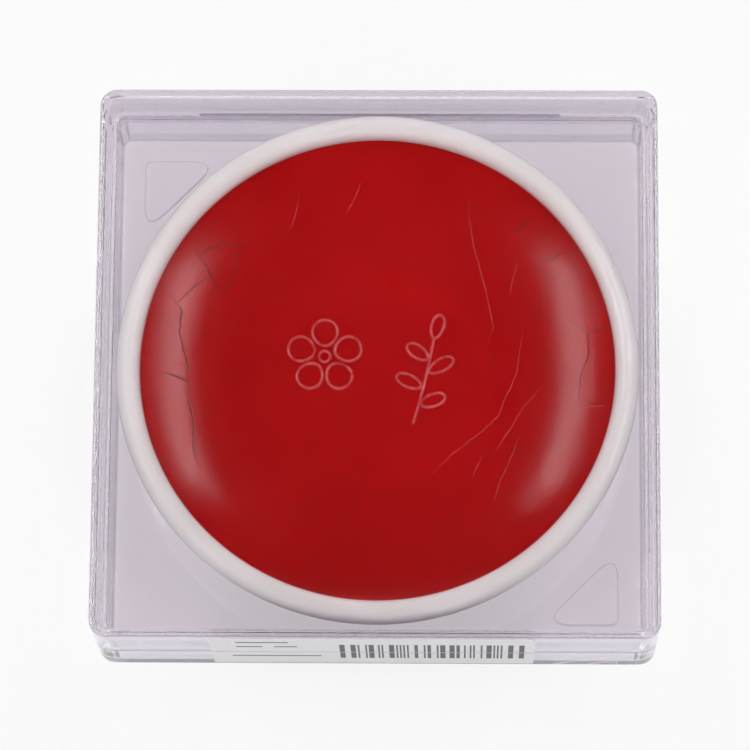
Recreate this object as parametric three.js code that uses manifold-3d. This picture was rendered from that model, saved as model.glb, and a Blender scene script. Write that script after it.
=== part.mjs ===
// A round porcelain dish of dried watercolor pigment, kept in a clear square case with a lift-off lid.
// Millimetres, +Z up. The origin is the centre of the case's underside, and the label faces -Y.

import * as THREE from 'three';
import { mergeVertices } from 'three/addons/utils/BufferGeometryUtils.js';
import Module from 'manifold-3d';

const wasm = await Module();
wasm.setup();

// Dish: heights are measured from the dish's own foot
const dishRadius = 45.8;
const dishHeight = 17.6;
const lipRadius = 2.1;
const lipUndercutAngle = THREE.MathUtils.degToRad(50);
const footRadius = 32;
const footWidth = 3.6;
const footHeight = 1.5;
const footRounding = 0.7;
const bowlFloorHeight = 4;
const bowlFloorRadius = 32;

// Pigment: a cake cast in the dish, with a hollow surface
const cakeEdgeHeight = 14.9;
const cakeHollow = 4.5;
const cakeFlatRadius = 20;
const cakeGap = 0.3;

// Case: walls and running gaps, from the dish outwards and from the table up
const dishSideGap = 0.7;
const upstandWall = 0.8;
const lidGap = 0.5;
const skirtWall = 1.2;
const floorThickness = 2;
const dishHeadroom = 4.3;
const lidPlate = 1.4;
const partingHeight = 11.8;
const upstandHeight = 4.9;
const outerCornerRadius = 3;
const innerCornerRadius = 1.6;
const bottomRounding = 0.7;
const topRounding = 0.5;
const partingChamfer = 0.25;
const leadIn = 0.3;
const floorFillet = 0.6;
const ceilingFillet = 0.4;
const dishShiftBack = 0.4;

// Snap bands: long low swellings at the middle of each side of the upstand
const bandLength = 64;
const bandHeight = 1.6;
const bandProud = 0.2;
const bandBelowTop = 0.7;

// Corner pads: two raised triangles on the tray's floor, in opposite corners
const padLeg = 13.7;
const padTipRadius = 2.3;
const padSquareRadius = 0.7;
const padRise = 0.6;
const padSlopeWidth = 0.8;
const padWallGap = 4;

// Paper label on the front, slit where the case parts
const labelWidth = 56;
const labelShift = -0.5;
const labelMargin = 1.7;
const labelThickness = 0.1;
const labelSlit = 0.5;
const labelCornerRadius = 1;

// Facets
const turnSteps = 72;
const curveSteps = 7;
const cornerSteps = 6;
const filletSteps = 3;

// Sizes that follow from the ones above
const trayHalf = dishRadius + dishSideGap;
const upstandHalf = trayHalf + upstandWall;
const skirtHalf = upstandHalf + lidGap;
const caseHalf = skirtHalf + skirtWall;
const upstandTop = partingHeight + upstandHeight;
const ceilingHeight = floorThickness + dishHeight + dishHeadroom;
const caseHeight = ceilingHeight + lidPlate;
const quarterTurn = Math.PI / 2;

const clearPlastic = new THREE.MeshStandardMaterial({
  color: '#d3ccd6',
  roughness: 0.08,
  metalness: 0,
  transparent: true,
  opacity: 0.35,
});
const porcelain = new THREE.MeshStandardMaterial({ color: '#e3e1de', roughness: 0.18, metalness: 0 });
const pigment = new THREE.MeshStandardMaterial({ color: '#a60b10', roughness: 0.3, metalness: 0 });
const paper = new THREE.MeshStandardMaterial({ color: '#e9e6ea', roughness: 0.7, metalness: 0 });

function namedMesh(name, geometry, material) {
  const mesh = new THREE.Mesh(geometry, material);
  mesh.name = name;
  return mesh;
}

// Turns a shape drawn in X and Y so that its Y axis points up and its depth runs towards -Y.
function stoodUp(geometry) {
  const position = geometry.attributes.position;
  for (let i = 0; i < position.count; i += 1) {
    position.setXYZ(i, position.getX(i), -position.getZ(i), position.getY(i));
  }
  return geometry;
}

function solidFrom(geometry) {
  const bare = geometry.clone();
  bare.deleteAttribute('normal');
  bare.deleteAttribute('uv');
  const merged = mergeVertices(bare);
  return new wasm.Manifold(new wasm.Mesh({
    numProp: 3,
    vertProperties: new Float32Array(merged.attributes.position.array),
    triVerts: new Uint32Array(merged.index.array),
  }));
}

function geometryFrom(solid) {
  const mesh = solid.getMesh();
  const geometry = new THREE.BufferGeometry();
  geometry.setAttribute('position', new THREE.BufferAttribute(mesh.vertProperties, 3));
  geometry.setIndex(new THREE.BufferAttribute(mesh.triVerts, 1));
  geometry.computeVertexNormals();
  return geometry;
}

// The corners' radius grows steadily from the tray's inner wall to the case's outer face.
function cornerRadiusAt(half) {
  const share = (half - trayHalf) / (caseHalf - trayHalf);
  return Math.max(THREE.MathUtils.lerp(innerCornerRadius, outerCornerRadius, share), leadIn);
}

// One level loop of a square with rounded corners, counterclockwise seen from above.
function squareLoop(half, z) {
  const radius = cornerRadiusAt(half);
  const reach = half - radius;
  const loop = [];
  for (let corner = 0; corner < 4; corner += 1) {
    const middle = (corner + 0.5) * quarterTurn;
    const centreX = reach * Math.sign(Math.cos(middle));
    const centreY = reach * Math.sign(Math.sin(middle));
    for (let step = 0; step <= cornerSteps; step += 1) {
      const angle = (corner + step / cornerSteps) * quarterTurn;
      loop.push(centreX + radius * Math.cos(angle), centreY + radius * Math.sin(angle), z);
    }
  }
  return loop;
}

// A solid lofted round a profile of half-widths and heights. The profile starts at a flat face
// that looks down and ends at a flat face that looks up, each closed at the middle.
function squareLoft(profile) {
  const loops = profile.map((point) => squareLoop(point.x, point.y));
  const count = loops[0].length / 3;
  const positions = loops.flat();
  const bottomCentre = positions.length / 3;
  const topCentre = bottomCentre + 1;
  const lastLoop = (loops.length - 1) * count;
  positions.push(0, 0, profile[0].y, 0, 0, profile[profile.length - 1].y);
  const index = [];
  for (let i = 0; i < count; i += 1) {
    const next = (i + 1) % count;
    index.push(bottomCentre, next, i);
    index.push(topCentre, lastLoop + i, lastLoop + next);
    for (let start = 0; start < lastLoop; start += count) {
      index.push(start + i, start + next, start + count + next);
      index.push(start + i, start + count + next, start + count + i);
    }
  }
  const geometry = new THREE.BufferGeometry();
  geometry.setAttribute('position', new THREE.Float32BufferAttribute(positions, 3));
  geometry.setIndex(index);
  geometry.computeVertexNormals();
  return geometry;
}

// Rounds the corners of a polygon, each with its own radius.
function roundedShape(corners) {
  const shape = new THREE.Shape();
  corners.forEach(({ x, y, radius }, i) => {
    const corner = new THREE.Vector2(x, y);
    const before = corners[(i + corners.length - 1) % corners.length];
    const after = corners[(i + 1) % corners.length];
    const toBefore = new THREE.Vector2(before.x, before.y).sub(corner).normalize();
    const toAfter = new THREE.Vector2(after.x, after.y).sub(corner).normalize();
    const halfAngle = Math.acos(THREE.MathUtils.clamp(toBefore.dot(toAfter), -1, 1)) / 2;
    const setBack = radius / Math.tan(halfAngle);
    const start = corner.clone().addScaledVector(toBefore, setBack);
    const end = corner.clone().addScaledVector(toAfter, setBack);
    if (i === 0) {
      shape.moveTo(start.x, start.y);
    } else {
      shape.lineTo(start.x, start.y);
    }
    if (radius > 0) {
      shape.quadraticCurveTo(x, y, end.x, end.y);
    }
  });
  shape.closePath();
  return shape;
}

// The tray: floor, outer wall up to the parting line, and a thinner upstand inside the lid.
function trayProfile() {
  const path = new THREE.Path();
  path.moveTo(caseHalf - bottomRounding, 0);
  path.absarc(caseHalf - bottomRounding, bottomRounding, bottomRounding, -quarterTurn, 0);
  path.lineTo(caseHalf, partingHeight - partingChamfer);
  path.lineTo(caseHalf - partingChamfer, partingHeight);
  path.lineTo(upstandHalf, partingHeight);
  path.lineTo(upstandHalf, upstandTop - leadIn);
  path.lineTo(upstandHalf - leadIn, upstandTop);
  path.lineTo(trayHalf + leadIn, upstandTop);
  path.lineTo(trayHalf, upstandTop - leadIn);
  path.lineTo(trayHalf, floorThickness + floorFillet);
  path.absarc(trayHalf - floorFillet, floorThickness + floorFillet, floorFillet, 0, -quarterTurn, true);
  return path.getPoints(filletSteps);
}

// The lid: a flat plate with a skirt that rests on the tray's outer wall.
function lidProfile() {
  const path = new THREE.Path();
  path.moveTo(skirtHalf - ceilingFillet, ceilingHeight);
  path.absarc(skirtHalf - ceilingFillet, ceilingHeight - ceilingFillet, ceilingFillet, quarterTurn, 0, true);
  path.lineTo(skirtHalf, partingHeight + leadIn);
  path.lineTo(skirtHalf + leadIn, partingHeight);
  path.lineTo(caseHalf - partingChamfer, partingHeight);
  path.lineTo(caseHalf, partingHeight + partingChamfer);
  path.lineTo(caseHalf, caseHeight - topRounding);
  path.absarc(caseHalf - topRounding, caseHeight - topRounding, topRounding, 0, quarterTurn);
  return path.getPoints(filletSteps);
}

// One snap band, lying along X with its back in the upstand's wall on the -Y side.
function snapBand() {
  const root = upstandWall / 2;
  const section = roundedShape([
    { x: -bandHeight / 2, y: -root, radius: 0 },
    { x: bandHeight / 2, y: -root, radius: 0 },
    { x: bandHeight / 2, y: 0, radius: 0 },
    { x: bandHeight / 2 - bandProud, y: bandProud, radius: 0 },
    { x: -bandHeight / 2 + bandProud, y: bandProud, radius: 0 },
    { x: -bandHeight / 2, y: 0, radius: 0 },
  ]);
  const geometry = new THREE.ExtrudeGeometry(section, { depth: bandLength, bevelEnabled: false });
  geometry.rotateY(quarterTurn);
  geometry.rotateX(Math.PI);
  geometry.translate(-bandLength / 2, -upstandHalf, upstandTop - bandBelowTop - bandHeight / 2);
  return geometry;
}

// One corner pad for the corner at +X and -Y: a right-angled triangle with sloping sides.
function cornerPad() {
  const squareCorner = trayHalf - padWallGap - padSlopeWidth;
  const leg = padLeg - padSlopeWidth * (2 + Math.SQRT2);
  const top = roundedShape([
    { x: squareCorner, y: -squareCorner, radius: padSquareRadius },
    { x: squareCorner, y: -squareCorner + leg, radius: padTipRadius - padSlopeWidth },
    { x: squareCorner - leg, y: -squareCorner, radius: padTipRadius - padSlopeWidth },
  ]);
  const geometry = new THREE.ExtrudeGeometry(top, {
    depth: floorThickness / 4,
    curveSegments: curveSteps - 1,
    bevelThickness: padRise,
    bevelSize: padSlopeWidth,
    bevelSegments: 1,
  });
  geometry.translate(0, 0, floorThickness * 3 / 4);
  return geometry;
}

function caseBase() {
  let solid = solidFrom(squareLoft(trayProfile()));
  for (let side = 0; side < 4; side += 1) {
    const band = snapBand();
    band.rotateZ(side * quarterTurn);
    solid = solid.add(solidFrom(band));
  }
  for (let turn = 0; turn < 2; turn += 1) {
    const pad = cornerPad();
    pad.rotateZ(turn * Math.PI);
    solid = solid.add(solidFrom(pad));
  }
  return namedMesh('case_base', geometryFrom(solid), clearPlastic);
}

function caseLid() {
  return namedMesh('case_lid', squareLoft(lidProfile()), clearPlastic);
}

const lipCentreRadius = dishRadius - lipRadius;
const lipCentreHeight = dishHeight - lipRadius;
const bowlMouthRadius = dishRadius - 2 * lipRadius;

// Draws the bowl's inner wall from the pigment's edge down to the bowl's floor, moved inwards by a gap.
function drawBowlWall(path, gap) {
  path.bezierCurveTo(
    bowlMouthRadius - gap, THREE.MathUtils.lerp(cakeEdgeHeight, bowlFloorHeight, 0.5),
    THREE.MathUtils.lerp(bowlMouthRadius, bowlFloorRadius, 0.3) - gap, bowlFloorHeight,
    bowlFloorRadius - gap, bowlFloorHeight,
  );
}

function dish() {
  const path = new THREE.Path();
  path.moveTo(0, footHeight);
  path.lineTo(footRadius - footWidth - footRounding, footHeight);
  path.lineTo(footRadius - footWidth, footRounding);
  path.lineTo(footRadius - footWidth + footRounding, 0);
  path.lineTo(footRadius - footRounding, 0);
  path.lineTo(footRadius, footRounding);
  path.lineTo(footRadius, footHeight);
  path.bezierCurveTo(
    THREE.MathUtils.lerp(footRadius, dishRadius, 0.7), footHeight,
    dishRadius - lipRadius / 2, THREE.MathUtils.lerp(footHeight, lipCentreHeight, 0.4),
    lipCentreRadius + lipRadius * Math.cos(lipUndercutAngle),
    lipCentreHeight - lipRadius * Math.sin(lipUndercutAngle),
  );
  path.absarc(lipCentreRadius, lipCentreHeight, lipRadius, -lipUndercutAngle, Math.PI);
  path.lineTo(bowlMouthRadius, cakeEdgeHeight);
  drawBowlWall(path, 0);
  path.lineTo(0, bowlFloorHeight);
  const geometry = stoodUp(new THREE.LatheGeometry(path.getPoints(curveSteps), turnSteps));
  return namedMesh('dish', geometry, porcelain);
}

// The pigment is hollowed from a flat middle up to its edge, where it meets the bowl's wall.
function pigmentCake() {
  const edgeRadius = bowlMouthRadius - cakeGap;
  const middleHeight = cakeEdgeHeight - cakeHollow;
  const path = new THREE.Path();
  path.moveTo(0, middleHeight);
  path.lineTo(cakeFlatRadius, middleHeight);
  path.quadraticCurveTo((cakeFlatRadius + edgeRadius) / 2, middleHeight, edgeRadius, cakeEdgeHeight);
  drawBowlWall(path, cakeGap);
  path.lineTo(0, bowlFloorHeight);
  const outline = path.getPoints(curveSteps).reverse();
  return namedMesh('pigment_cake', stoodUp(new THREE.LatheGeometry(outline, turnSteps)), pigment);
}

// One part of the label between two heights, rounded at the end that isn't the slit.
function labelPart(name, bottom, top, bottomRadius, topRadius) {
  const left = labelShift - labelWidth / 2;
  const right = labelShift + labelWidth / 2;
  const shape = roundedShape([
    { x: left, y: bottom, radius: bottomRadius },
    { x: right, y: bottom, radius: bottomRadius },
    { x: right, y: top, radius: topRadius },
    { x: left, y: top, radius: topRadius },
  ]);
  const geometry = new THREE.ExtrudeGeometry(shape, {
    depth: labelThickness,
    curveSegments: filletSteps,
    bevelEnabled: false,
  });
  const mesh = namedMesh(name, stoodUp(geometry), paper);
  mesh.position.y = -caseHalf;
  return mesh;
}

const dishAssembly = new THREE.Group();
dishAssembly.position.set(0, dishShiftBack, floorThickness);
dishAssembly.add(dish(), pigmentCake());

const object = new THREE.Group();
object.add(
  caseBase(),
  caseLid(),
  dishAssembly,
  labelPart('label_lower', labelMargin, partingHeight - labelSlit / 2, labelCornerRadius, 0),
  labelPart('label_upper', partingHeight + labelSlit / 2, caseHeight - labelMargin, 0, labelCornerRadius),
);

export default object;
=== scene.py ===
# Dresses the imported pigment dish: clear case, porcelain dish, cracked red pigment and paper label.
# Metres, +Z up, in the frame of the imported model.

import math
import random

import bpy
from mathutils import Matrix, Vector


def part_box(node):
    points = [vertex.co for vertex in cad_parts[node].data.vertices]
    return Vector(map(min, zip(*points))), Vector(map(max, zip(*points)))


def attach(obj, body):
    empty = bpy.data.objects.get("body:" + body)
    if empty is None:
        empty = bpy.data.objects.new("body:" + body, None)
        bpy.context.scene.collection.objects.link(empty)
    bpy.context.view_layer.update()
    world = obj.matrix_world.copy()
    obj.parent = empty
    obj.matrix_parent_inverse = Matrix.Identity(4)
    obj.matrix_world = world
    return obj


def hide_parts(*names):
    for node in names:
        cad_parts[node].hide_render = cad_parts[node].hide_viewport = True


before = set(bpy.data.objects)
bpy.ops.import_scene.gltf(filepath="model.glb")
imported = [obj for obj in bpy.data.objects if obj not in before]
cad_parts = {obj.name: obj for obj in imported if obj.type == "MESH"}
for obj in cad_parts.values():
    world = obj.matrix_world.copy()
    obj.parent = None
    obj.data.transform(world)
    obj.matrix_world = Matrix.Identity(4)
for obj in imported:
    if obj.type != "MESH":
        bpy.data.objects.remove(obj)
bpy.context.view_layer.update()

MM = 0.001

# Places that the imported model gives
base_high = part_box("case_base")[1]
lid_low, lid_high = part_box("case_lid")
dish_low, dish_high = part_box("dish")
cake_low, cake_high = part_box("pigment_cake")

# Case sizes
CASE_HALF = base_high.x
PARTING_HEIGHT = lid_low.z
UPSTAND_TOP = base_high.z
CASE_TOP = lid_high.z
SKIRT_WALL = 1.2 * MM
LID_GAP = 0.5 * MM
UPSTAND_WALL = 0.8 * MM
LID_PLATE = 1.4 * MM
FLOOR_TOP = dish_low.z
OUTER_CORNER = 3.0 * MM
INNER_CORNER = 1.6 * MM
BOTTOM_ROUNDING = 0.7 * MM
TOP_ROUNDING = 0.5 * MM
PARTING_ROUNDING = 0.25 * MM
LEAD_IN = 0.3 * MM
FLOOR_FILLET = 0.6 * MM
CEILING_FILLET = 0.4 * MM
SKIRT_HALF = CASE_HALF - SKIRT_WALL
UPSTAND_HALF = SKIRT_HALF - LID_GAP
TRAY_HALF = UPSTAND_HALF - UPSTAND_WALL
CEILING = CASE_TOP - LID_PLATE

# Snap bands and corner pads
BAND_LENGTH = 64 * MM
BAND_HEIGHT = 1.6 * MM
BAND_PROUD = 0.2 * MM
BAND_BELOW_TOP = 0.7 * MM
PAD_LEG = 13.7 * MM
PAD_TIP = 2.3 * MM
PAD_SQUARE = 0.7 * MM
PAD_RISE = 0.6 * MM
PAD_SLOPE = 0.8 * MM
PAD_WALL_GAP = 4 * MM

# Dish sizes, with heights above its foot
DISH_CENTRE = (dish_low + dish_high) / 2
DISH_RADIUS = (dish_high.x - dish_low.x) / 2
DISH_HEIGHT = dish_high.z - dish_low.z
LIP_RADIUS = 2.1 * MM
LIP_UNDERCUT = math.radians(50)
FOOT_RADIUS = 32 * MM
FOOT_WIDTH = 3.6 * MM
FOOT_HEIGHT = 1.5 * MM
FOOT_ROUNDING = 0.7 * MM
BOWL_FLOOR_RADIUS = 32 * MM
BOWL_FLOOR_HEIGHT = cake_low.z - FLOOR_TOP
LIP_CENTRE_RADIUS = DISH_RADIUS - LIP_RADIUS
LIP_CENTRE_HEIGHT = DISH_HEIGHT - LIP_RADIUS
MOUTH_RADIUS = DISH_RADIUS - 2 * LIP_RADIUS

# Pigment sizes
CAKE_EDGE = cake_high.z - FLOOR_TOP
CAKE_HOLLOW = 4.5 * MM
CAKE_FLAT_RADIUS = 20 * MM
CAKE_SEAT = 0.02 * MM
LINE_RISE = 0.35

# Label sizes
LABEL_WIDTH = 56 * MM
LABEL_SHIFT = -0.5 * MM
LABEL_MARGIN = 1.7 * MM
LABEL_THICKNESS = 0.08 * MM
INK_THICKNESS = 0.015 * MM
LABEL_SLIT = 0.5 * MM
LABEL_CORNER = 1.0 * MM

# Camera: a long lens nearly overhead
CAMERA_TARGET = Vector((-0.52, 0.50, 12.0)) * MM
CAMERA_DISTANCE = 800.7 * MM
CAMERA_TILT = math.radians(14.15)
CAMERA_YAW = math.radians(4.56)
CAMERA_ROLL = math.radians(-4.24)
CAMERA_LENS = 218.1

# Facets and shading
TURN_STEPS = 256
SMOOTH_ANGLE = math.radians(32)
TURNED_SMOOTH_ANGLE = math.radians(40)

# Painted shade on the clear plastic: its colour is darkened on steep faces, and darkest on leaning ones
# such as roundings, to stand in for the dark lines that refraction draws along edges
STEEP_PAINTED_SHADE = (0.78, 0.75, 0.83)
LEANING_PAINTED_SHADE = (0.48, 0.44, 0.55)

# Clear pieces that touch are drawn this far apart, because light can't pass two faces in one plane
FILM_GAP = 0.03 * MM

# Stage: how bright its white is to the camera, in mirrors and through glass, and the sky round it
FLOOR_SEEN = 0.85
FLOOR_THROUGH = 0.72
SKY_SIDE = 0.95
SKY_OVERHEAD = 0.015
SKY_DARK_FROM = 0.60
SKY_LIGHT_FROM = 0.35
FLOOR_HALF = 3.0

# Side lamps
SIDE_LAMP_OUT = 0.32
SIDE_LAMP_BACK = 0.20
SIDE_LAMP_HEIGHT = 0.62


def arc(centre_x, centre_y, radius, start, end, steps):
    """Points along an arc from start to end, angles in degrees."""
    points = []
    for step in range(steps + 1):
        angle = math.radians(start + (end - start) * step / steps)
        points.append((centre_x + radius * math.cos(angle), centre_y + radius * math.sin(angle)))
    return points


def bezier(p0, p1, p2, p3, steps):
    """Points along a cubic curve, without the first."""
    points = []
    for step in range(1, steps + 1):
        t = step / steps
        weights = ((1 - t) ** 3, 3 * t * (1 - t) ** 2, 3 * t * t * (1 - t), t ** 3)
        points.append(tuple(
            sum(w * p[axis] for w, p in zip(weights, (p0, p1, p2, p3))) for axis in (0, 1)
        ))
    return points


def lerp(low, high, share):
    return low + (high - low) * share


def new_object(name, mesh, material):
    obj = bpy.data.objects.new(name, mesh)
    bpy.context.scene.collection.objects.link(obj)
    mesh.materials.clear()
    mesh.materials.append(material)
    return obj


def smooth(mesh, angle=SMOOTH_ANGLE):
    mesh.shade_smooth()
    mesh.set_sharp_from_angle(angle=angle)


def mesh_from(name, vertices, faces):
    mesh = bpy.data.meshes.new(name)
    mesh.from_pydata(vertices, [], faces)
    mesh.validate()
    mesh.update()
    return mesh


def weight_normals(obj):
    """Lets the large flat faces keep flat shading beside their small fillets."""
    modifier = obj.modifiers.new("weighted", "WEIGHTED_NORMAL")
    modifier.keep_sharp = True
    modifier.weight = 90


def corner_radius(half):
    share = (half - TRAY_HALF) / (CASE_HALF - TRAY_HALF)
    return max(lerp(INNER_CORNER, OUTER_CORNER, share), LEAD_IN)


def square_loop(half, z, steps=14):
    radius = corner_radius(half)
    reach = half - radius
    loop = []
    for sign_x, sign_y, start in ((1, 1, 0), (-1, 1, 90), (-1, -1, 180), (1, -1, 270)):
        for x, y in arc(sign_x * reach, sign_y * reach, radius, start, start + 90, steps):
            loop.append((x, y, z))
    return loop


def square_loft(name, profile):
    """A closed solid lofted round a profile of half-widths and heights."""
    loops = [square_loop(half, z) for half, z in profile]
    count = len(loops[0])
    vertices = [point for loop in loops for point in loop]
    faces = [tuple(reversed(range(count)))]
    for ring in range(len(loops) - 1):
        start = ring * count
        for i in range(count):
            following = (i + 1) % count
            faces.append((start + i, start + following, start + count + following, start + count + i))
    last = (len(loops) - 1) * count
    faces.append(tuple(range(last, last + count)))
    return mesh_from(name, vertices, faces)


def lathe(name, profile, segments):
    """A closed solid turned round the dish's axis; the profile runs from axis to axis."""
    vertices = [(0, 0, profile[0][1])]
    ring_points = profile[1:-1]
    for radius, z in ring_points:
        for i in range(segments):
            angle = 2 * math.pi * i / segments
            vertices.append((radius * math.cos(angle), radius * math.sin(angle), z))
    vertices.append((0, 0, profile[-1][1]))
    last = len(vertices) - 1
    faces = []
    for i in range(segments):
        following = (i + 1) % segments
        faces.append((0, 1 + following, 1 + i))
        for ring in range(len(ring_points) - 1):
            a = 1 + ring * segments
            b = a + segments
            faces.append((a + i, a + following, b + following, b + i))
        end = 1 + (len(ring_points) - 1) * segments
        faces.append((end + i, end + following, last))
    mesh = mesh_from(name, vertices, faces)
    mesh.transform(Matrix.Translation((DISH_CENTRE.x, DISH_CENTRE.y, FLOOR_TOP)))
    return mesh


def rounded_outline(corners, steps=8):
    """Outline of a polygon whose corners (x, y, radius) are rounded."""
    outline = []
    for i, (x, y, radius) in enumerate(corners):
        corner = Vector((x, y))
        before = (Vector(corners[i - 1][:2]) - corner).normalized()
        after = (Vector(corners[(i + 1) % len(corners)][:2]) - corner).normalized()
        if radius <= 0:
            outline.append((x, y))
            continue
        set_back = radius / math.tan(before.angle(after) / 2)
        start = corner + before * set_back
        end = corner + after * set_back
        for step in range(steps + 1):
            t = step / steps
            point = start * (1 - t) ** 2 + corner * 2 * t * (1 - t) + end * t * t
            outline.append((point.x, point.y))
    return outline


def stacked(name, layers):
    """A closed solid through level outlines with equal counts; layers are (outline, z)."""
    count = len(layers[0][0])
    vertices = [(x, y, z) for outline, z in layers for x, y in outline]
    faces = [tuple(reversed(range(count)))]
    for ring in range(len(layers) - 1):
        start = ring * count
        for i in range(count):
            following = (i + 1) % count
            faces.append((start + i, start + following, start + count + following, start + count + i))
    last = (len(layers) - 1) * count
    faces.append(tuple(range(last, last + count)))
    return mesh_from(name, vertices, faces)


def union(obj, tools):
    """Joins closed meshes onto obj and leaves one mesh."""
    helpers = []
    for mesh in tools:
        helper = bpy.data.objects.new("helper", mesh)
        bpy.context.scene.collection.objects.link(helper)
        modifier = obj.modifiers.new("join", "BOOLEAN")
        modifier.operation = "UNION"
        modifier.solver = "EXACT"
        modifier.object = helper
        helpers.append(helper)
    graph = bpy.context.evaluated_depsgraph_get()
    joined = bpy.data.meshes.new_from_object(obj.evaluated_get(graph))
    obj.modifiers.clear()
    obj.data = joined
    for helper in helpers:
        bpy.data.objects.remove(helper)


# Materials

def node_tree(name):
    material = bpy.data.materials.new(name)
    material.use_nodes = True
    nodes = material.node_tree.nodes
    shader = nodes["Principled BSDF"]
    return material, nodes, material.node_tree.links, shader


def millimetre_coordinates(nodes, links):
    coordinates = nodes.new("ShaderNodeTexCoord")
    scale = nodes.new("ShaderNodeVectorMath")
    scale.operation = "SCALE"
    scale.inputs["Scale"].default_value = 1 / MM
    links.new(coordinates.outputs["Object"], scale.inputs[0])
    return scale.outputs[0]


def noise(nodes, links, vector, scale, detail=3.0, roughness=0.5):
    texture = nodes.new("ShaderNodeTexNoise")
    texture.inputs["Scale"].default_value = scale
    texture.inputs["Detail"].default_value = detail
    texture.inputs["Roughness"].default_value = roughness
    links.new(vector, texture.inputs["Vector"])
    return texture


def math_node(nodes, links, operation, first, second=None, clamp=False):
    node = nodes.new("ShaderNodeMath")
    node.operation = operation
    node.use_clamp = clamp
    for socket, value in zip(node.inputs, (first, second)):
        if value is None:
            continue
        if isinstance(value, (int, float)):
            socket.default_value = value
        else:
            links.new(value, socket)
    return node.outputs[0]


def map_range(nodes, links, value, from_low, from_high, to_low=0.0, to_high=1.0):
    node = nodes.new("ShaderNodeMapRange")
    node.inputs["From Min"].default_value = from_low
    node.inputs["From Max"].default_value = from_high
    node.inputs["To Min"].default_value = to_low
    node.inputs["To Max"].default_value = to_high
    links.new(value, node.inputs["Value"])
    return node.outputs["Result"]


def mix_colour(nodes, links, factor, first, second):
    node = nodes.new("ShaderNodeMix")
    node.data_type = "RGBA"
    links.new(factor, node.inputs["Factor"])
    for socket, value in zip((node.inputs[6], node.inputs[7]), (first, second)):
        if isinstance(value, tuple):
            socket.default_value = (*value, 1)
        else:
            links.new(value, socket)
    return node.outputs[2]


def bump(nodes, links, height, distance, strength=1.0):
    node = nodes.new("ShaderNodeBump")
    node.inputs["Distance"].default_value = distance
    node.inputs["Strength"].default_value = strength
    links.new(height, node.inputs["Height"])
    return node.outputs["Normal"]


def clear_plastic(name, tint):
    material, nodes, links, shader = node_tree(name)
    vector = millimetre_coordinates(nodes, links)
    # Painted shade: the base colour darkens by how steep the face stands, from the normal's upward part,
    # darkest on leaning roundings and fillets
    geometry = nodes.new("ShaderNodeNewGeometry")
    facing = nodes.new("ShaderNodeSeparateXYZ")
    links.new(geometry.outputs["Normal"], facing.inputs[0])
    level = math_node(nodes, links, "ABSOLUTE", facing.outputs["Z"])
    steep_shade = map_range(nodes, links, level, 0.2, 0.95, 1.0, 0.0)
    colour = mix_colour(nodes, links, steep_shade, tint, STEEP_PAINTED_SHADE)
    leaning_shade = math_node(
        nodes, links, "MULTIPLY",
        map_range(nodes, links, level, 0.04, 0.12), map_range(nodes, links, level, 0.70, 0.90, 1.0, 0.0),
    )
    colour = mix_colour(nodes, links, leaning_shade, colour, LEANING_PAINTED_SHADE)
    links.new(colour, shader.inputs["Base Color"])
    shader.inputs["Transmission Weight"].default_value = 1.0
    shader.inputs["IOR"].default_value = 1.52
    wear = noise(nodes, links, vector, 0.35, 4.0, 0.6)
    rough = map_range(nodes, links, wear.outputs["Fac"], 0.3, 0.75, 0.015, 0.075)
    links.new(rough, shader.inputs["Roughness"])
    ripple = noise(nodes, links, vector, 0.09, 1.0)
    links.new(bump(nodes, links, ripple.outputs["Fac"], 0.00001, 0.5), shader.inputs["Normal"])
    through = nodes.new("ShaderNodeBsdfTransparent")
    through.inputs["Color"].default_value = (0.93, 0.91, 0.94, 1)
    paths = nodes.new("ShaderNodeLightPath")
    mix = nodes.new("ShaderNodeMixShader")
    links.new(paths.outputs["Is Shadow Ray"], mix.inputs["Fac"])
    links.new(shader.outputs["BSDF"], mix.inputs[1])
    links.new(through.outputs["BSDF"], mix.inputs[2])
    links.new(mix.outputs["Shader"], nodes["Material Output"].inputs["Surface"])
    return material


def porcelain():
    material, nodes, links, shader = node_tree("glazed_porcelain")
    vector = millimetre_coordinates(nodes, links)
    tone = noise(nodes, links, vector, 0.05, 3.0)
    shade = map_range(nodes, links, tone.outputs["Fac"], 0.35, 0.7)
    colour = mix_colour(nodes, links, shade, (0.81, 0.80, 0.755), (0.86, 0.855, 0.82))
    links.new(colour, shader.inputs["Base Color"])
    shader.inputs["IOR"].default_value = 1.5
    shader.inputs["Coat Weight"].default_value = 0.5
    shader.inputs["Coat Roughness"].default_value = 0.06
    glaze = noise(nodes, links, vector, 0.12, 2.0)
    rough = map_range(nodes, links, glaze.outputs["Fac"], 0.3, 0.7, 0.24, 0.27)
    links.new(rough, shader.inputs["Roughness"])
    peel = noise(nodes, links, vector, 0.28, 2.0)
    links.new(bump(nodes, links, peel.outputs["Fac"], 0.00001, 0.1), shader.inputs["Normal"])
    return material


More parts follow.
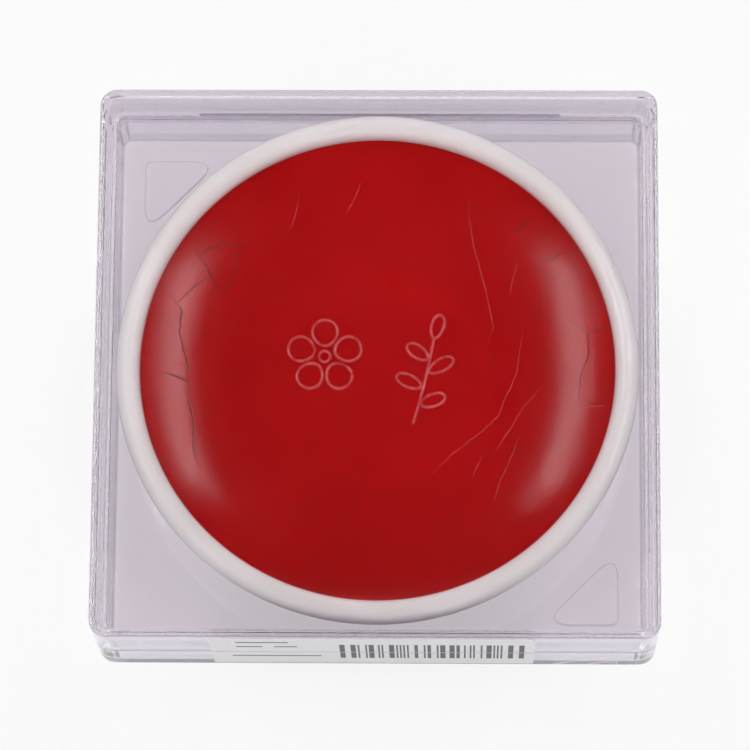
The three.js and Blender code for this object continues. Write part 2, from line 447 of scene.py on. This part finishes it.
def pigment():
    material, nodes, links, shader = node_tree("dried_pigment")
    vector = millimetre_coordinates(nodes, links)
    split = nodes.new("ShaderNodeSeparateXYZ")
    links.new(vector, split.inputs[0])
    flat = nodes.new("ShaderNodeCombineXYZ")
    links.new(split.outputs["X"], flat.inputs["X"])
    links.new(split.outputs["Y"], flat.inputs["Y"])
    length = nodes.new("ShaderNodeVectorMath")
    length.operation = "LENGTH"
    links.new(flat.outputs[0], length.inputs[0])
    radius = length.outputs["Value"]

    cloud = noise(nodes, links, vector, 0.045, 4.0, 0.6)
    grain = noise(nodes, links, vector, 3.0, 3.0, 0.6)
    colour = mix_colour(
        nodes, links, map_range(nodes, links, cloud.outputs["Fac"], 0.3, 0.7),
        (0.37, 0.0016, 0.0024), (0.44, 0.0030, 0.0040),
    )

    # Specks: fine pale dust
    dust = nodes.new("ShaderNodeTexVoronoi")
    dust.feature = "F1"
    dust.inputs["Scale"].default_value = 0.42
    links.new(vector, dust.inputs["Vector"])
    speck = map_range(nodes, links, dust.outputs["Distance"], 0.035, 0.07, 1.0, 0.0)
    thin_out = nodes.new("ShaderNodeSeparateColor")
    links.new(dust.outputs["Color"], thin_out.inputs[0])
    speck = math_node(
        nodes, links, "MULTIPLY", speck, math_node(nodes, links, "GREATER_THAN", thin_out.outputs[0], 0.8),
    )
    near_rim = map_range(nodes, links, radius, 22.0, 33.0, 0.12, 1.0)
    speck = math_node(nodes, links, "MULTIPLY", speck, near_rim)
    colour = mix_colour(
        nodes, links, math_node(nodes, links, "MULTIPLY", speck, 0.45), colour, (0.60, 0.12, 0.11),
    )
    links.new(colour, shader.inputs["Base Color"])

    haze = noise(nodes, links, vector, 0.22, 5.0, 0.65)
    rough = map_range(nodes, links, haze.outputs["Fac"], 0.3, 0.7, 0.13, 0.19)
    rough = math_node(nodes, links, "ADD", rough, math_node(nodes, links, "MULTIPLY", speck, 0.4), True)
    links.new(rough, shader.inputs["Roughness"])
    shader.inputs["IOR"].default_value = 1.48
    shader.inputs["Specular IOR Level"].default_value = 0.3

    height = math_node(nodes, links, "MULTIPLY", speck, 0.5)
    height = math_node(
        nodes, links, "ADD", height, math_node(nodes, links, "MULTIPLY", grain.outputs["Fac"], 0.10),
    )
    height = math_node(
        nodes, links, "ADD", height, math_node(nodes, links, "MULTIPLY", cloud.outputs["Fac"], 0.2),
    )
    links.new(bump(nodes, links, height, 0.00012, 0.8), shader.inputs["Normal"])
    return material


def pigment_line(name, dark, light, smoothest):
    """Pigment lines whose colour drifts between two tones: scratches as rubbed wear, cracks as painted
    shade, raised lines as rubbed wear with a painted highlight.
    """
    material, nodes, links, shader = node_tree(name)
    vector = millimetre_coordinates(nodes, links)
    drift = noise(nodes, links, vector, 0.6, 3.0, 0.6)
    share = map_range(nodes, links, drift.outputs["Fac"], 0.35, 0.65)
    links.new(mix_colour(nodes, links, share, dark, light), shader.inputs["Base Color"])
    rough = map_range(nodes, links, drift.outputs["Fac"], 0.3, 0.7, smoothest, smoothest + 0.1)
    links.new(rough, shader.inputs["Roughness"])
    shader.inputs["IOR"].default_value = 1.48
    return material


def label_paper():
    material, nodes, links, shader = node_tree("label_paper")
    vector = millimetre_coordinates(nodes, links)
    fibre = noise(nodes, links, vector, 2.2, 5.0, 0.65)
    shade = map_range(nodes, links, fibre.outputs["Fac"], 0.3, 0.7)
    colour = mix_colour(nodes, links, shade, (0.89, 0.87, 0.895), (0.93, 0.915, 0.935))
    links.new(colour, shader.inputs["Base Color"])
    rough = map_range(nodes, links, fibre.outputs["Fac"], 0.3, 0.7, 0.5, 0.68)
    links.new(rough, shader.inputs["Roughness"])
    links.new(bump(nodes, links, fibre.outputs["Fac"], 0.00002, 0.5), shader.inputs["Normal"])
    return material


def label_ink():
    material, nodes, links, shader = node_tree("label_ink")
    vector = millimetre_coordinates(nodes, links)
    spread = noise(nodes, links, vector, 4.0, 3.0, 0.6)
    shade = map_range(nodes, links, spread.outputs["Fac"], 0.35, 0.7)
    colour = mix_colour(nodes, links, shade, (0.055, 0.05, 0.07), (0.11, 0.10, 0.13))
    links.new(colour, shader.inputs["Base Color"])
    rough = map_range(nodes, links, spread.outputs["Fac"], 0.3, 0.7, 0.4, 0.6)
    links.new(rough, shader.inputs["Roughness"])
    return material


# Pieces

def tray_profile():
    fillet = FLOOR_FILLET
    return (
        arc(CASE_HALF - BOTTOM_ROUNDING, FILM_GAP + BOTTOM_ROUNDING, BOTTOM_ROUNDING, -90, 0, 6)
        + arc(CASE_HALF - PARTING_ROUNDING, PARTING_HEIGHT - PARTING_ROUNDING, PARTING_ROUNDING, 0, 90, 4)
        + [(UPSTAND_HALF, PARTING_HEIGHT)]
        + arc(UPSTAND_HALF - LEAD_IN, UPSTAND_TOP - LEAD_IN, LEAD_IN, 0, 90, 4)
        + arc(TRAY_HALF + LEAD_IN, UPSTAND_TOP - LEAD_IN, LEAD_IN, 90, 180, 4)
        + arc(TRAY_HALF - fillet, FLOOR_TOP - FILM_GAP + fillet, fillet, 0, -90, 6)
    )


def lid_profile():
    foot = PARTING_HEIGHT + FILM_GAP
    return (
        arc(SKIRT_HALF - CEILING_FILLET, CEILING - CEILING_FILLET, CEILING_FILLET, 90, 0, 5)
        + arc(SKIRT_HALF + LEAD_IN, foot + LEAD_IN, LEAD_IN, 180, 270, 4)
        + arc(CASE_HALF - PARTING_ROUNDING, foot + PARTING_ROUNDING, PARTING_ROUNDING, -90, 0, 4)
        + arc(CASE_HALF - TOP_ROUNDING, CASE_TOP - TOP_ROUNDING, TOP_ROUNDING, 0, 90, 6)
    )


def pad_mesh(turn):
    layers = []
    edge = arc(0, 0, 1, 0, 90, 6)
    rises = [(PAD_SLOPE, FLOOR_TOP - PAD_RISE)]
    rises += [(PAD_SLOPE * out, FLOOR_TOP + PAD_RISE * up) for out, up in edge]
    for grown, z in rises:
        square = TRAY_HALF - PAD_WALL_GAP - PAD_SLOPE + grown
        leg = PAD_LEG - (PAD_SLOPE - grown) * (2 + math.sqrt(2))
        tip = PAD_TIP - PAD_SLOPE + grown
        outline = rounded_outline([
            (square, -square, PAD_SQUARE + grown),
            (square, -square + leg, tip),
            (square - leg, -square, tip),
        ])
        layers.append((outline, z))
    mesh = stacked("pad", layers)
    mesh.transform(Matrix.Rotation(turn * math.pi, 4, "Z"))
    return mesh


def band_mesh(side):
    half = BAND_HEIGHT / 2
    root = UPSTAND_WALL / 2
    bulge = [(half * math.cos(a), BAND_PROUD * math.sin(a)) for a in (math.pi * i / 8 for i in range(9))]
    section = [(-half, -root), (half, -root)] + bulge
    layers = [(section, 0), (section, BAND_LENGTH)]
    mesh = stacked("band", layers)
    mesh.transform(Matrix.Rotation(math.pi / 2, 4, "Y"))
    mesh.transform(Matrix.Rotation(math.pi, 4, "X"))
    centre_height = UPSTAND_TOP - BAND_BELOW_TOP - half
    mesh.transform(Matrix.Translation((-BAND_LENGTH / 2, -UPSTAND_HALF, centre_height)))
    mesh.transform(Matrix.Rotation(side * math.pi / 2, 4, "Z"))
    return mesh


def make_case(tray_material, lid_material):
    tray = new_object("clear_tray", square_loft("clear_tray", tray_profile()), tray_material)
    union(tray, [pad_mesh(0), pad_mesh(1)] + [band_mesh(side) for side in range(4)])
    lid = new_object("clear_lid", square_loft("clear_lid", lid_profile()), lid_material)
    for piece, node, body in ((tray, "case_base", "base"), (lid, "case_lid", "lid")):
        smooth(piece.data)
        weight_normals(piece)
        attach(piece, body)
        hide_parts(node)


def bowl_wall(gap, steps):
    start = (MOUTH_RADIUS - gap, CAKE_EDGE)
    return bezier(
        start,
        (MOUTH_RADIUS - gap, lerp(CAKE_EDGE, BOWL_FLOOR_HEIGHT, 0.5)),
        (lerp(MOUTH_RADIUS, BOWL_FLOOR_RADIUS, 0.3) - gap, BOWL_FLOOR_HEIGHT),
        (BOWL_FLOOR_RADIUS - gap, BOWL_FLOOR_HEIGHT),
        steps,
    )


def dish_profile():
    inner_foot = FOOT_RADIUS - FOOT_WIDTH
    undercut = (
        LIP_CENTRE_RADIUS + LIP_RADIUS * math.cos(LIP_UNDERCUT),
        LIP_CENTRE_HEIGHT - LIP_RADIUS * math.sin(LIP_UNDERCUT),
    )
    outer_wall = bezier(
        (FOOT_RADIUS, FOOT_HEIGHT),
        (lerp(FOOT_RADIUS, DISH_RADIUS, 0.7), FOOT_HEIGHT),
        (DISH_RADIUS - LIP_RADIUS / 2, lerp(FOOT_HEIGHT, LIP_CENTRE_HEIGHT, 0.4)),
        undercut, 24,
    )
    return (
        [(0, FOOT_HEIGHT), (inner_foot - FOOT_ROUNDING, FOOT_HEIGHT)]
        + arc(inner_foot + FOOT_ROUNDING, FOOT_ROUNDING, FOOT_ROUNDING, 180, 270, 5)
        + arc(FOOT_RADIUS - FOOT_ROUNDING, FOOT_ROUNDING, FOOT_ROUNDING, -90, 0, 5)
        + [(FOOT_RADIUS, FOOT_HEIGHT)]
        + outer_wall
        + arc(LIP_CENTRE_RADIUS, LIP_CENTRE_HEIGHT, LIP_RADIUS, -math.degrees(LIP_UNDERCUT), 180, 36)[1:]
        + [(MOUTH_RADIUS, CAKE_EDGE)]
        + bowl_wall(0, 20)
        + [(0, BOWL_FLOOR_HEIGHT)]
    )


def cake_top(radius):
    """Height of the pigment's top above the dish's foot, at a distance from the dish's axis."""
    share = max(0.0, (radius - CAKE_FLAT_RADIUS) / (MOUTH_RADIUS - CAKE_SEAT - CAKE_FLAT_RADIUS))
    return CAKE_EDGE - CAKE_HOLLOW + CAKE_HOLLOW * share * share


def cake_profile():
    edge = MOUTH_RADIUS - CAKE_SEAT
    side = [(edge, CAKE_EDGE)] + bowl_wall(CAKE_SEAT, 16)
    hollow = []
    for step in range(1, 41):
        radius = lerp(edge, CAKE_FLAT_RADIUS, step / 40)
        hollow.append((radius, cake_top(radius)))
    flat = [(CAKE_FLAT_RADIUS * share / 8, cake_top(0)) for share in range(7, 0, -1)]
    return [(0, BOWL_FLOOR_HEIGHT)] + side[::-1] + hollow + flat + [(0, cake_top(0))]


def make_dish(material):
    bowl = new_object("porcelain_dish", lathe("porcelain_dish", dish_profile(), TURN_STEPS), material)
    smooth(bowl.data, TURNED_SMOOTH_ANGLE)
    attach(bowl, "dish")
    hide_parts("dish")


def make_cake(material):
    cake = new_object("pigment", lathe("pigment", cake_profile(), TURN_STEPS), material)
    smooth(cake.data, TURNED_SMOOTH_ANGLE)
    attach(cake, "dish")
    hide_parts("pigment_cake")


def wandering_path(points, chance, step, stray):
    """Points in millimetres joined by a line that wanders a little, as a crack does."""
    path = []
    for start, end in zip(points, points[1:]):
        start, end = Vector(start), Vector(end)
        count = max(1, round((end - start).length / step))
        across = (end - start).orthogonal().normalized()
        for i in range(count):
            sway = 0 if not path else chance.uniform(-stray, stray)
            path.append(start.lerp(end, i / count) + across * sway)
    path.append(Vector(points[-1]))
    return path


def surface_lines(name, lines, half_width, stray, material, seed):
    """Thin low welts that follow the pigment's top along several lines, pointed at both ends."""
    chance = random.Random(seed)
    vertices = []
    faces = []
    section = [(math.cos(a), math.sin(a)) for a in (math.tau * i / 6 for i in range(6))]
    for points in lines:
        path = wandering_path(points, chance, 0.9, stray)
        first = len(vertices)
        for i, place in enumerate(path):
            along = path[min(i + 1, len(path) - 1)] - path[max(i - 1, 0)]
            across = Vector((-along.y, along.x)).normalized()
            share = i / (len(path) - 1)
            width = half_width * max(0.12, min(1.0, 4 * share, 4 * (1 - share))) * chance.uniform(0.65, 1.2)
            for side, rise in section:
                spot = (place + across * side * width) * MM
                z = FLOOR_TOP + cake_top(spot.length) + rise * width * LINE_RISE * MM
                vertices.append((DISH_CENTRE.x + spot.x, DISH_CENTRE.y + spot.y, z))
        count = len(section)
        faces.append(tuple(first + i for i in reversed(range(count))))
        last = first + (len(path) - 1) * count
        faces.append(tuple(last + i for i in range(count)))
        for ring in range(first, last, count):
            for i in range(count):
                following = (i + 1) % count
                faces.append((ring + i, ring + following, ring + count + following, ring + count + i))
    piece = new_object(name, mesh_from(name, vertices, faces), material)
    piece.data.shade_smooth()
    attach(piece, "dish")


def make_surface_lines():
    """Fine cracks near the rim and pale scratches, as points in millimetres from the dish's axis."""
    cracks = (
        [(-33.7, 22.6), (-30.3, 18.8), (-28.9, 15.8), (-28.0, 13.3)],
        [(-24.5, 22.9), (-25.0, 19.7), (-26.2, 16.3), (-28.0, 13.3)],
        [(-32.2, 20.0), (-30.6, 21.9), (-27.6, 23.2), (-22.7, 23.0)],
        [
            (-39.2, 14.2), (-36.1, 13.3), (-34.6, 10.8), (-34.9, 6.7),
            (-34.0, 3.0), (-33.1, 0.5), (-33.7, -4.0),
        ],
        [(-33.7, -4.0), (-33.0, -6.5), (-32.2, -9.0), (-32.2, -12.8), (-31.5, -16.6)],
        [(-35.2, 12.4), (-32.8, 14.9), (-30.3, 17.2)],
        [(-38.0, -0.5), (-35.2, -1.1), (-33.1, -2.1)],
        [(32.5, 9.8), (34.9, 8.4), (37.0, 6.5), (37.0, 3.0), (35.6, -0.2), (35.2, -4.0), (34.9, -6.8)],
        [(37.0, 6.5), (38.3, 7.6), (39.8, 8.1)],
        [(23.9, 25.3), (25.7, 26.6), (27.1, 27.8)],
        [(28.5, 20.4), (30.6, 20.3), (32.6, 21.7)],
    )
    scratches = (
        [(15.9, 33.0), (16.0, 28.2), (16.8, 23.2), (18.1, 18.8), (19.3, 13.8), (20.3, 8.7), (18.7, 3.7)],
        [(24.8, 21.0), (23.9, 18.0), (23.1, 13.8)],
        [(25.7, 9.9), (25.1, 4.9), (24.5, 0.5), (21.1, -7.6), (18.4, -10.2), (13.5, -14.0), (8.0, -19.6)],
        [(29.4, -1.7), (25.7, -5.8), (22.7, -10.8), (20.2, -14.6)],
        [(25.1, -10.5), (23.9, -14.0), (21.4, -19.6), (20.2, -24.0)],
        [(18.4, -14.6), (17.5, -16.5), (16.8, -18.7)],
        [(-14.1, 33.0), (-14.4, 30.2), (-15.3, 27.0), (-16.5, 25.1)],
        [(-3.1, 34.9), (-4.3, 31.7), (-6.1, 28.9)],
        [(34.9, -6.6), (37.7, -6.4), (40.2, -6.6)],
    )
    # The cracks are low dark welts: their darkness is painted shade that stands for the shadow inside real
    # cracks.
    dark = pigment_line("pigment_crack_painted_shade", (0.07, 0.0015, 0.002), (0.16, 0.002, 0.003), 0.5)
    pale = pigment_line("pigment_scratch", (0.50, 0.035, 0.035), (0.62, 0.12, 0.12), 0.35)
    surface_lines("cracks", cracks, half_width=0.10, stray=0.16, material=dark, seed=5)
    surface_lines("scratches", scratches, half_width=0.065, stray=0.10, material=pale, seed=8)


def ridge(name, points, closed, radius, material):
    """A thin raised line of pigment that follows points on the cake's flat middle."""
    curve = bpy.data.curves.new(name, "CURVE")
    curve.dimensions = "3D"
    curve.bevel_depth = radius
    curve.bevel_resolution = 3
    curve.resolution_u = 8
    curve.use_fill_caps = True
    spline = curve.splines.new("NURBS")
    spline.points.add(len(points) - 1)
    surface = FLOOR_TOP + CAKE_EDGE - CAKE_HOLLOW
    for point, (x, y) in zip(spline.points, points):
        point.co = (DISH_CENTRE.x + x, DISH_CENTRE.y + y, surface, 1)
    spline.use_cyclic_u = closed
    spline.use_endpoint_u = not closed
    spline.order_u = 4
    helper = bpy.data.objects.new(name, curve)
    bpy.context.scene.collection.objects.link(helper)
    mesh = bpy.data.meshes.new_from_object(helper.evaluated_get(bpy.context.evaluated_depsgraph_get()))
    bpy.data.objects.remove(helper)
    piece = new_object(name, mesh, material)
    mesh.shade_smooth()
    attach(piece, "dish")


def petal(centre, angle, length, width):
    """Outline of one petal or leaf that points away from centre."""
    one_side = [(0.25, 0.75), (0.65, 1.0), (0.95, 0.55)]
    other_side = [(along, -across) for along, across in reversed(one_side)]
    points = []
    for along, across in [(0.0, 0.0)] + one_side + [(1.0, 0.0)] + other_side:
        x = along * length
        y = across * width / 2
        points.append((
            centre[0] + x * math.cos(angle) - y * math.sin(angle),
            centre[1] + x * math.sin(angle) + y * math.cos(angle),
        ))
    return points


def make_motifs(material):
    """Two plain raised outlines in the middle: a five-petalled blossom and a sprig of leaves."""
    thickness = 0.27 * MM
    blossom_x, blossom_y = -9.4 * MM, 3.2 * MM
    petal_start = 1.5 * MM
    petal_length = 5.2 * MM
    petal_width = 5.0 * MM
    heart_radius = 1.1 * MM
    leaf_width = 2.5 * MM
    for i in range(5):
        angle = math.radians(90 + 72 * i)
        start = (blossom_x + petal_start * math.cos(angle), blossom_y + petal_start * math.sin(angle))
        points = petal(start, angle, petal_length, petal_width)
        ridge(f"blossom_petal_{i + 1}", points, True, thickness, material)
    ring = [
        (blossom_x + heart_radius * math.cos(a), blossom_y + heart_radius * math.sin(a))
        for a in (math.tau * i / 8 for i in range(8))
    ]
    ridge("blossom_heart", ring, True, thickness, material)

    stem = [(6.2, -9.0), (7.4, -5.0), (8.4, -1.0), (9.2, 3.0), (9.8, 6.4)]
    ridge("sprig_stem", [(x * MM, y * MM) for x, y in stem], False, thickness, material)
    leaves = (
        (7.2, -5.6, 20, 5.0),
        (8.0, -2.4, 155, 5.2),
        (8.6, 0.2, 30, 5.4),
        (9.1, 2.6, 145, 4.8),
        (9.8, 6.2, 75, 4.8),
    )
    for i, (x, y, degrees, length) in enumerate(leaves):
        points = petal((x * MM, y * MM), math.radians(degrees), length * MM, leaf_width)
        ridge(f"sprig_leaf_{i + 1}", points, True, thickness, material)


def upright_plate(name, outline, front, back, material):
    """A thin plate whose outline stands in X and Z, between two depths along Y."""
    count = len(outline)
    vertices = [(x, front, z) for x, z in outline] + [(x, back, z) for x, z in outline]
    faces = [tuple(range(count)), tuple(reversed(range(count, 2 * count)))]
    for i in range(count):
        following = (i + 1) % count
        faces.append((i, count + i, count + following, following))
    return new_object(name, mesh_from(name, vertices, faces), material)


def make_label(paper, ink):
    left = LABEL_SHIFT - LABEL_WIDTH / 2
    right = LABEL_SHIFT + LABEL_WIDTH / 2
    face = -CASE_HALF
    paper_front = face - LABEL_THICKNESS
    slit_low = PARTING_HEIGHT - LABEL_SLIT / 2
    slit_high = PARTING_HEIGHT + LABEL_SLIT / 2
    label_top = CASE_TOP - LABEL_MARGIN
    halves = (
        ("paper_lower", "label_lower", "base", LABEL_MARGIN, slit_low, LABEL_CORNER, 0),
        ("paper_upper", "label_upper", "lid", slit_high, label_top, 0, LABEL_CORNER),
    )
    for name, node, body, bottom, top, bottom_radius, top_radius in halves:
        outline = rounded_outline([
            (left, bottom, bottom_radius), (right, bottom, bottom_radius),
            (right, top, top_radius), (left, top, top_radius),
        ], 5)
        piece = upright_plate(name, outline, paper_front, face - FILM_GAP / 2, paper)
        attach(piece, body)
        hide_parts(node)
    make_label_print(ink, paper_front, slit_low, slit_high)


def make_label_print(ink, paper_front, slit_low, slit_high):
    """Plain printed marks: a block of upright bars that stand for nothing, and short blank rules."""
    chance = random.Random(11)
    bars = []
    bars_left = -6.2 * MM
    bars_right = 25.0 * MM
    x = bars_left
    while x < bars_right:
        width = chance.choice((0.30, 0.30, 0.6, 0.9)) * MM
        bars.append((x, x + width))
        x += width + chance.choice((0.30, 0.35, 0.7, 1.0)) * MM
    bar_bottom = 6.6 * MM
    bar_top = 18.6 * MM
    parts = (
        ("bars_lower", "base", bar_bottom, slit_low),
        ("bars_upper", "lid", slit_high, bar_top),
    )
    for name, body, bottom, top in parts:
        outlines = [((low, bottom), (high, bottom), (high, top), (low, top)) for low, high in bars]
        print_piece(name, body, outlines, ink, paper_front)
    rule_half = 0.35
    rules_upper = [(-24.0, -15.0, 20.4), (-24.0, -19.5, 16.6), (-17.5, -13.5, 16.6)]
    rules_lower = [(-25.0, -9.5, 8.4)]
    for name, body, rules in (("rules_upper", "lid", rules_upper), ("rules_lower", "base", rules_lower)):
        outlines = []
        for start, end, height in rules:
            low, high = (height - rule_half) * MM, (height + rule_half) * MM
            outlines.append(((start * MM, low), (end * MM, low), (end * MM, high), (start * MM, high)))
        print_piece(name, body, outlines, ink, paper_front)


def print_piece(name, body, outlines, ink, paper_front):
    vertices = []
    faces = []
    for outline in outlines:
        start = len(vertices)
        vertices += [(x, paper_front - INK_THICKNESS, z) for x, z in outline]
        vertices += [(x, paper_front, z) for x, z in outline]
        faces.append((start, start + 1, start + 2, start + 3))
        faces.append((start + 7, start + 6, start + 5, start + 4))
        for i in range(4):
            following = (i + 1) % 4
            faces.append((start + i, start + 4 + i, start + 4 + following, start + following))
    piece = new_object(name, mesh_from(name, vertices, faces), ink)
    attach(piece, body)


# Stage, light and camera

def background_factor(nodes, links, camera_share, glass_share):
    """How much of the stage's own white shows: full for the camera, less in gloss and through the case."""
    paths = nodes.new("ShaderNodeLightPath")
    seen = math_node(nodes, links, "MULTIPLY", paths.outputs["Is Camera Ray"], camera_share)
    glass = math_node(
        nodes, links, "MAXIMUM", paths.outputs["Is Glossy Ray"], paths.outputs["Is Transmission Ray"],
    )
    through = math_node(nodes, links, "MULTIPLY", glass, glass_share)
    return math_node(nodes, links, "MAXIMUM", seen, through)


def make_floor():
    material, nodes, links, shader = node_tree("stage_floor")
    shader.inputs["Base Color"].default_value = (0.88, 0.88, 0.88, 1)
    shader.inputs["Roughness"].default_value = 0.9
    white = nodes.new("ShaderNodeEmission")
    white.inputs["Color"].default_value = (1, 1, 1, 1)
    mix = nodes.new("ShaderNodeMixShader")
    links.new(background_factor(nodes, links, FLOOR_SEEN, FLOOR_THROUGH), mix.inputs["Fac"])
    links.new(shader.outputs["BSDF"], mix.inputs[1])
    links.new(white.outputs["Emission"], mix.inputs[2])
    links.new(mix.outputs["Shader"], nodes["Material Output"].inputs["Surface"])
    half = FLOOR_HALF
    corners = [(-half, -half, 0), (half, -half, 0), (half, half, 0), (-half, half, 0)]
    mesh = mesh_from("floor", corners, [(0, 1, 2, 3)])
    new_object("floor", mesh, material)


def make_world():
    """A studio that is white round the sides and dark overhead."""
    world = bpy.data.worlds.new("studio")
    bpy.context.scene.world = world
    world.use_nodes = True
    nodes, links = world.node_tree.nodes, world.node_tree.links
    background = nodes["Background"]
    coordinates = nodes.new("ShaderNodeTexCoord")
    split = nodes.new("ShaderNodeSeparateXYZ")
    links.new(coordinates.outputs["Generated"], split.inputs[0])
    height = split.outputs["Z"]
    level = map_range(nodes, links, height, SKY_LIGHT_FROM, SKY_DARK_FROM, SKY_SIDE, SKY_OVERHEAD)
    paths = nodes.new("ShaderNodeLightPath")
    seen = math_node(nodes, links, "MAXIMUM", level, paths.outputs["Is Camera Ray"])
    links.new(seen, background.inputs["Strength"])
    background.inputs["Color"].default_value = (1, 1, 1, 1)


def area_light(name, place, target, size, power):
    light = bpy.data.lights.new(name, "AREA")
    light.shape = "RECTANGLE"
    light.size, light.size_y = size
    light.energy = power
    obj = bpy.data.objects.new(name, light)
    bpy.context.scene.collection.objects.link(obj)
    obj.location = place
    obj.rotation_mode = "QUATERNION"
    obj.rotation_quaternion = (Vector(target) - Vector(place)).to_track_quat("-Z", "Y")


def make_lights():
    """Two narrow lamps high on both sides, aimed behind the case, and a softer one before and behind it."""
    middle = (0, 0, 0.015)
    behind = (0, SIDE_LAMP_BACK, 0.015)
    for name, side in (("left_box", -1), ("right_box", 1)):
        place = (side * SIDE_LAMP_OUT, SIDE_LAMP_BACK, SIDE_LAMP_HEIGHT)
        area_light(name, place, behind, (0.46, 0.09), 1.45)
    area_light("back_box", (0, 1.0, 0.55), middle, (0.8, 0.25), 1.4)
    area_light("front_box", (0, -0.85, 0.75), middle, (0.7, 0.4), 2.2)


def make_camera():
    back = Vector((
        math.sin(CAMERA_YAW) * math.sin(CAMERA_TILT),
        -math.cos(CAMERA_YAW) * math.sin(CAMERA_TILT),
        math.cos(CAMERA_TILT),
    ))
    right = (-back).cross(Vector((0, 0, 1))).normalized()
    up = right.cross(-back)
    turned_right = right * math.cos(CAMERA_ROLL) + up * math.sin(CAMERA_ROLL)
    turned_up = up * math.cos(CAMERA_ROLL) - right * math.sin(CAMERA_ROLL)
    data = bpy.data.cameras.new("camera")
    data.lens = CAMERA_LENS
    data.sensor_width = 36
    data.clip_start = 0.05
    camera = bpy.data.objects.new("camera", data)
    bpy.context.scene.collection.objects.link(camera)
    camera.matrix_world = Matrix.Translation(CAMERA_TARGET + back * CAMERA_DISTANCE) @ Matrix((
        (turned_right.x, turned_up.x, back.x, 0),
        (turned_right.y, turned_up.y, back.y, 0),
        (turned_right.z, turned_up.z, back.z, 0),
        (0, 0, 0, 1),
    ))
    bpy.context.scene.camera = camera


make_camera()
make_world()
make_lights()
make_floor()
make_case(
    clear_plastic("tray_plastic", (0.86, 0.815, 0.865)),
    clear_plastic("lid_plastic", (0.87, 0.845, 0.86)),
)
make_dish(porcelain())
make_cake(pigment())
# The raised lines are a paler red: partly rubbed wear, partly a painted highlight along their crests.
make_motifs(pigment_line("pigment_relief_painted_highlight", (0.52, 0.03, 0.032), (0.66, 0.12, 0.12), 0.16))
make_surface_lines()
make_label(label_paper(), label_ink())

bpy.context.scene.view_settings.view_transform = "Standard"
bpy.context.scene.cycles.max_bounces = 32
bpy.context.scene.cycles.glossy_bounces = 24
bpy.context.scene.cycles.transmission_bounces = 32
bpy.context.scene.cycles.transparent_max_bounces = 16
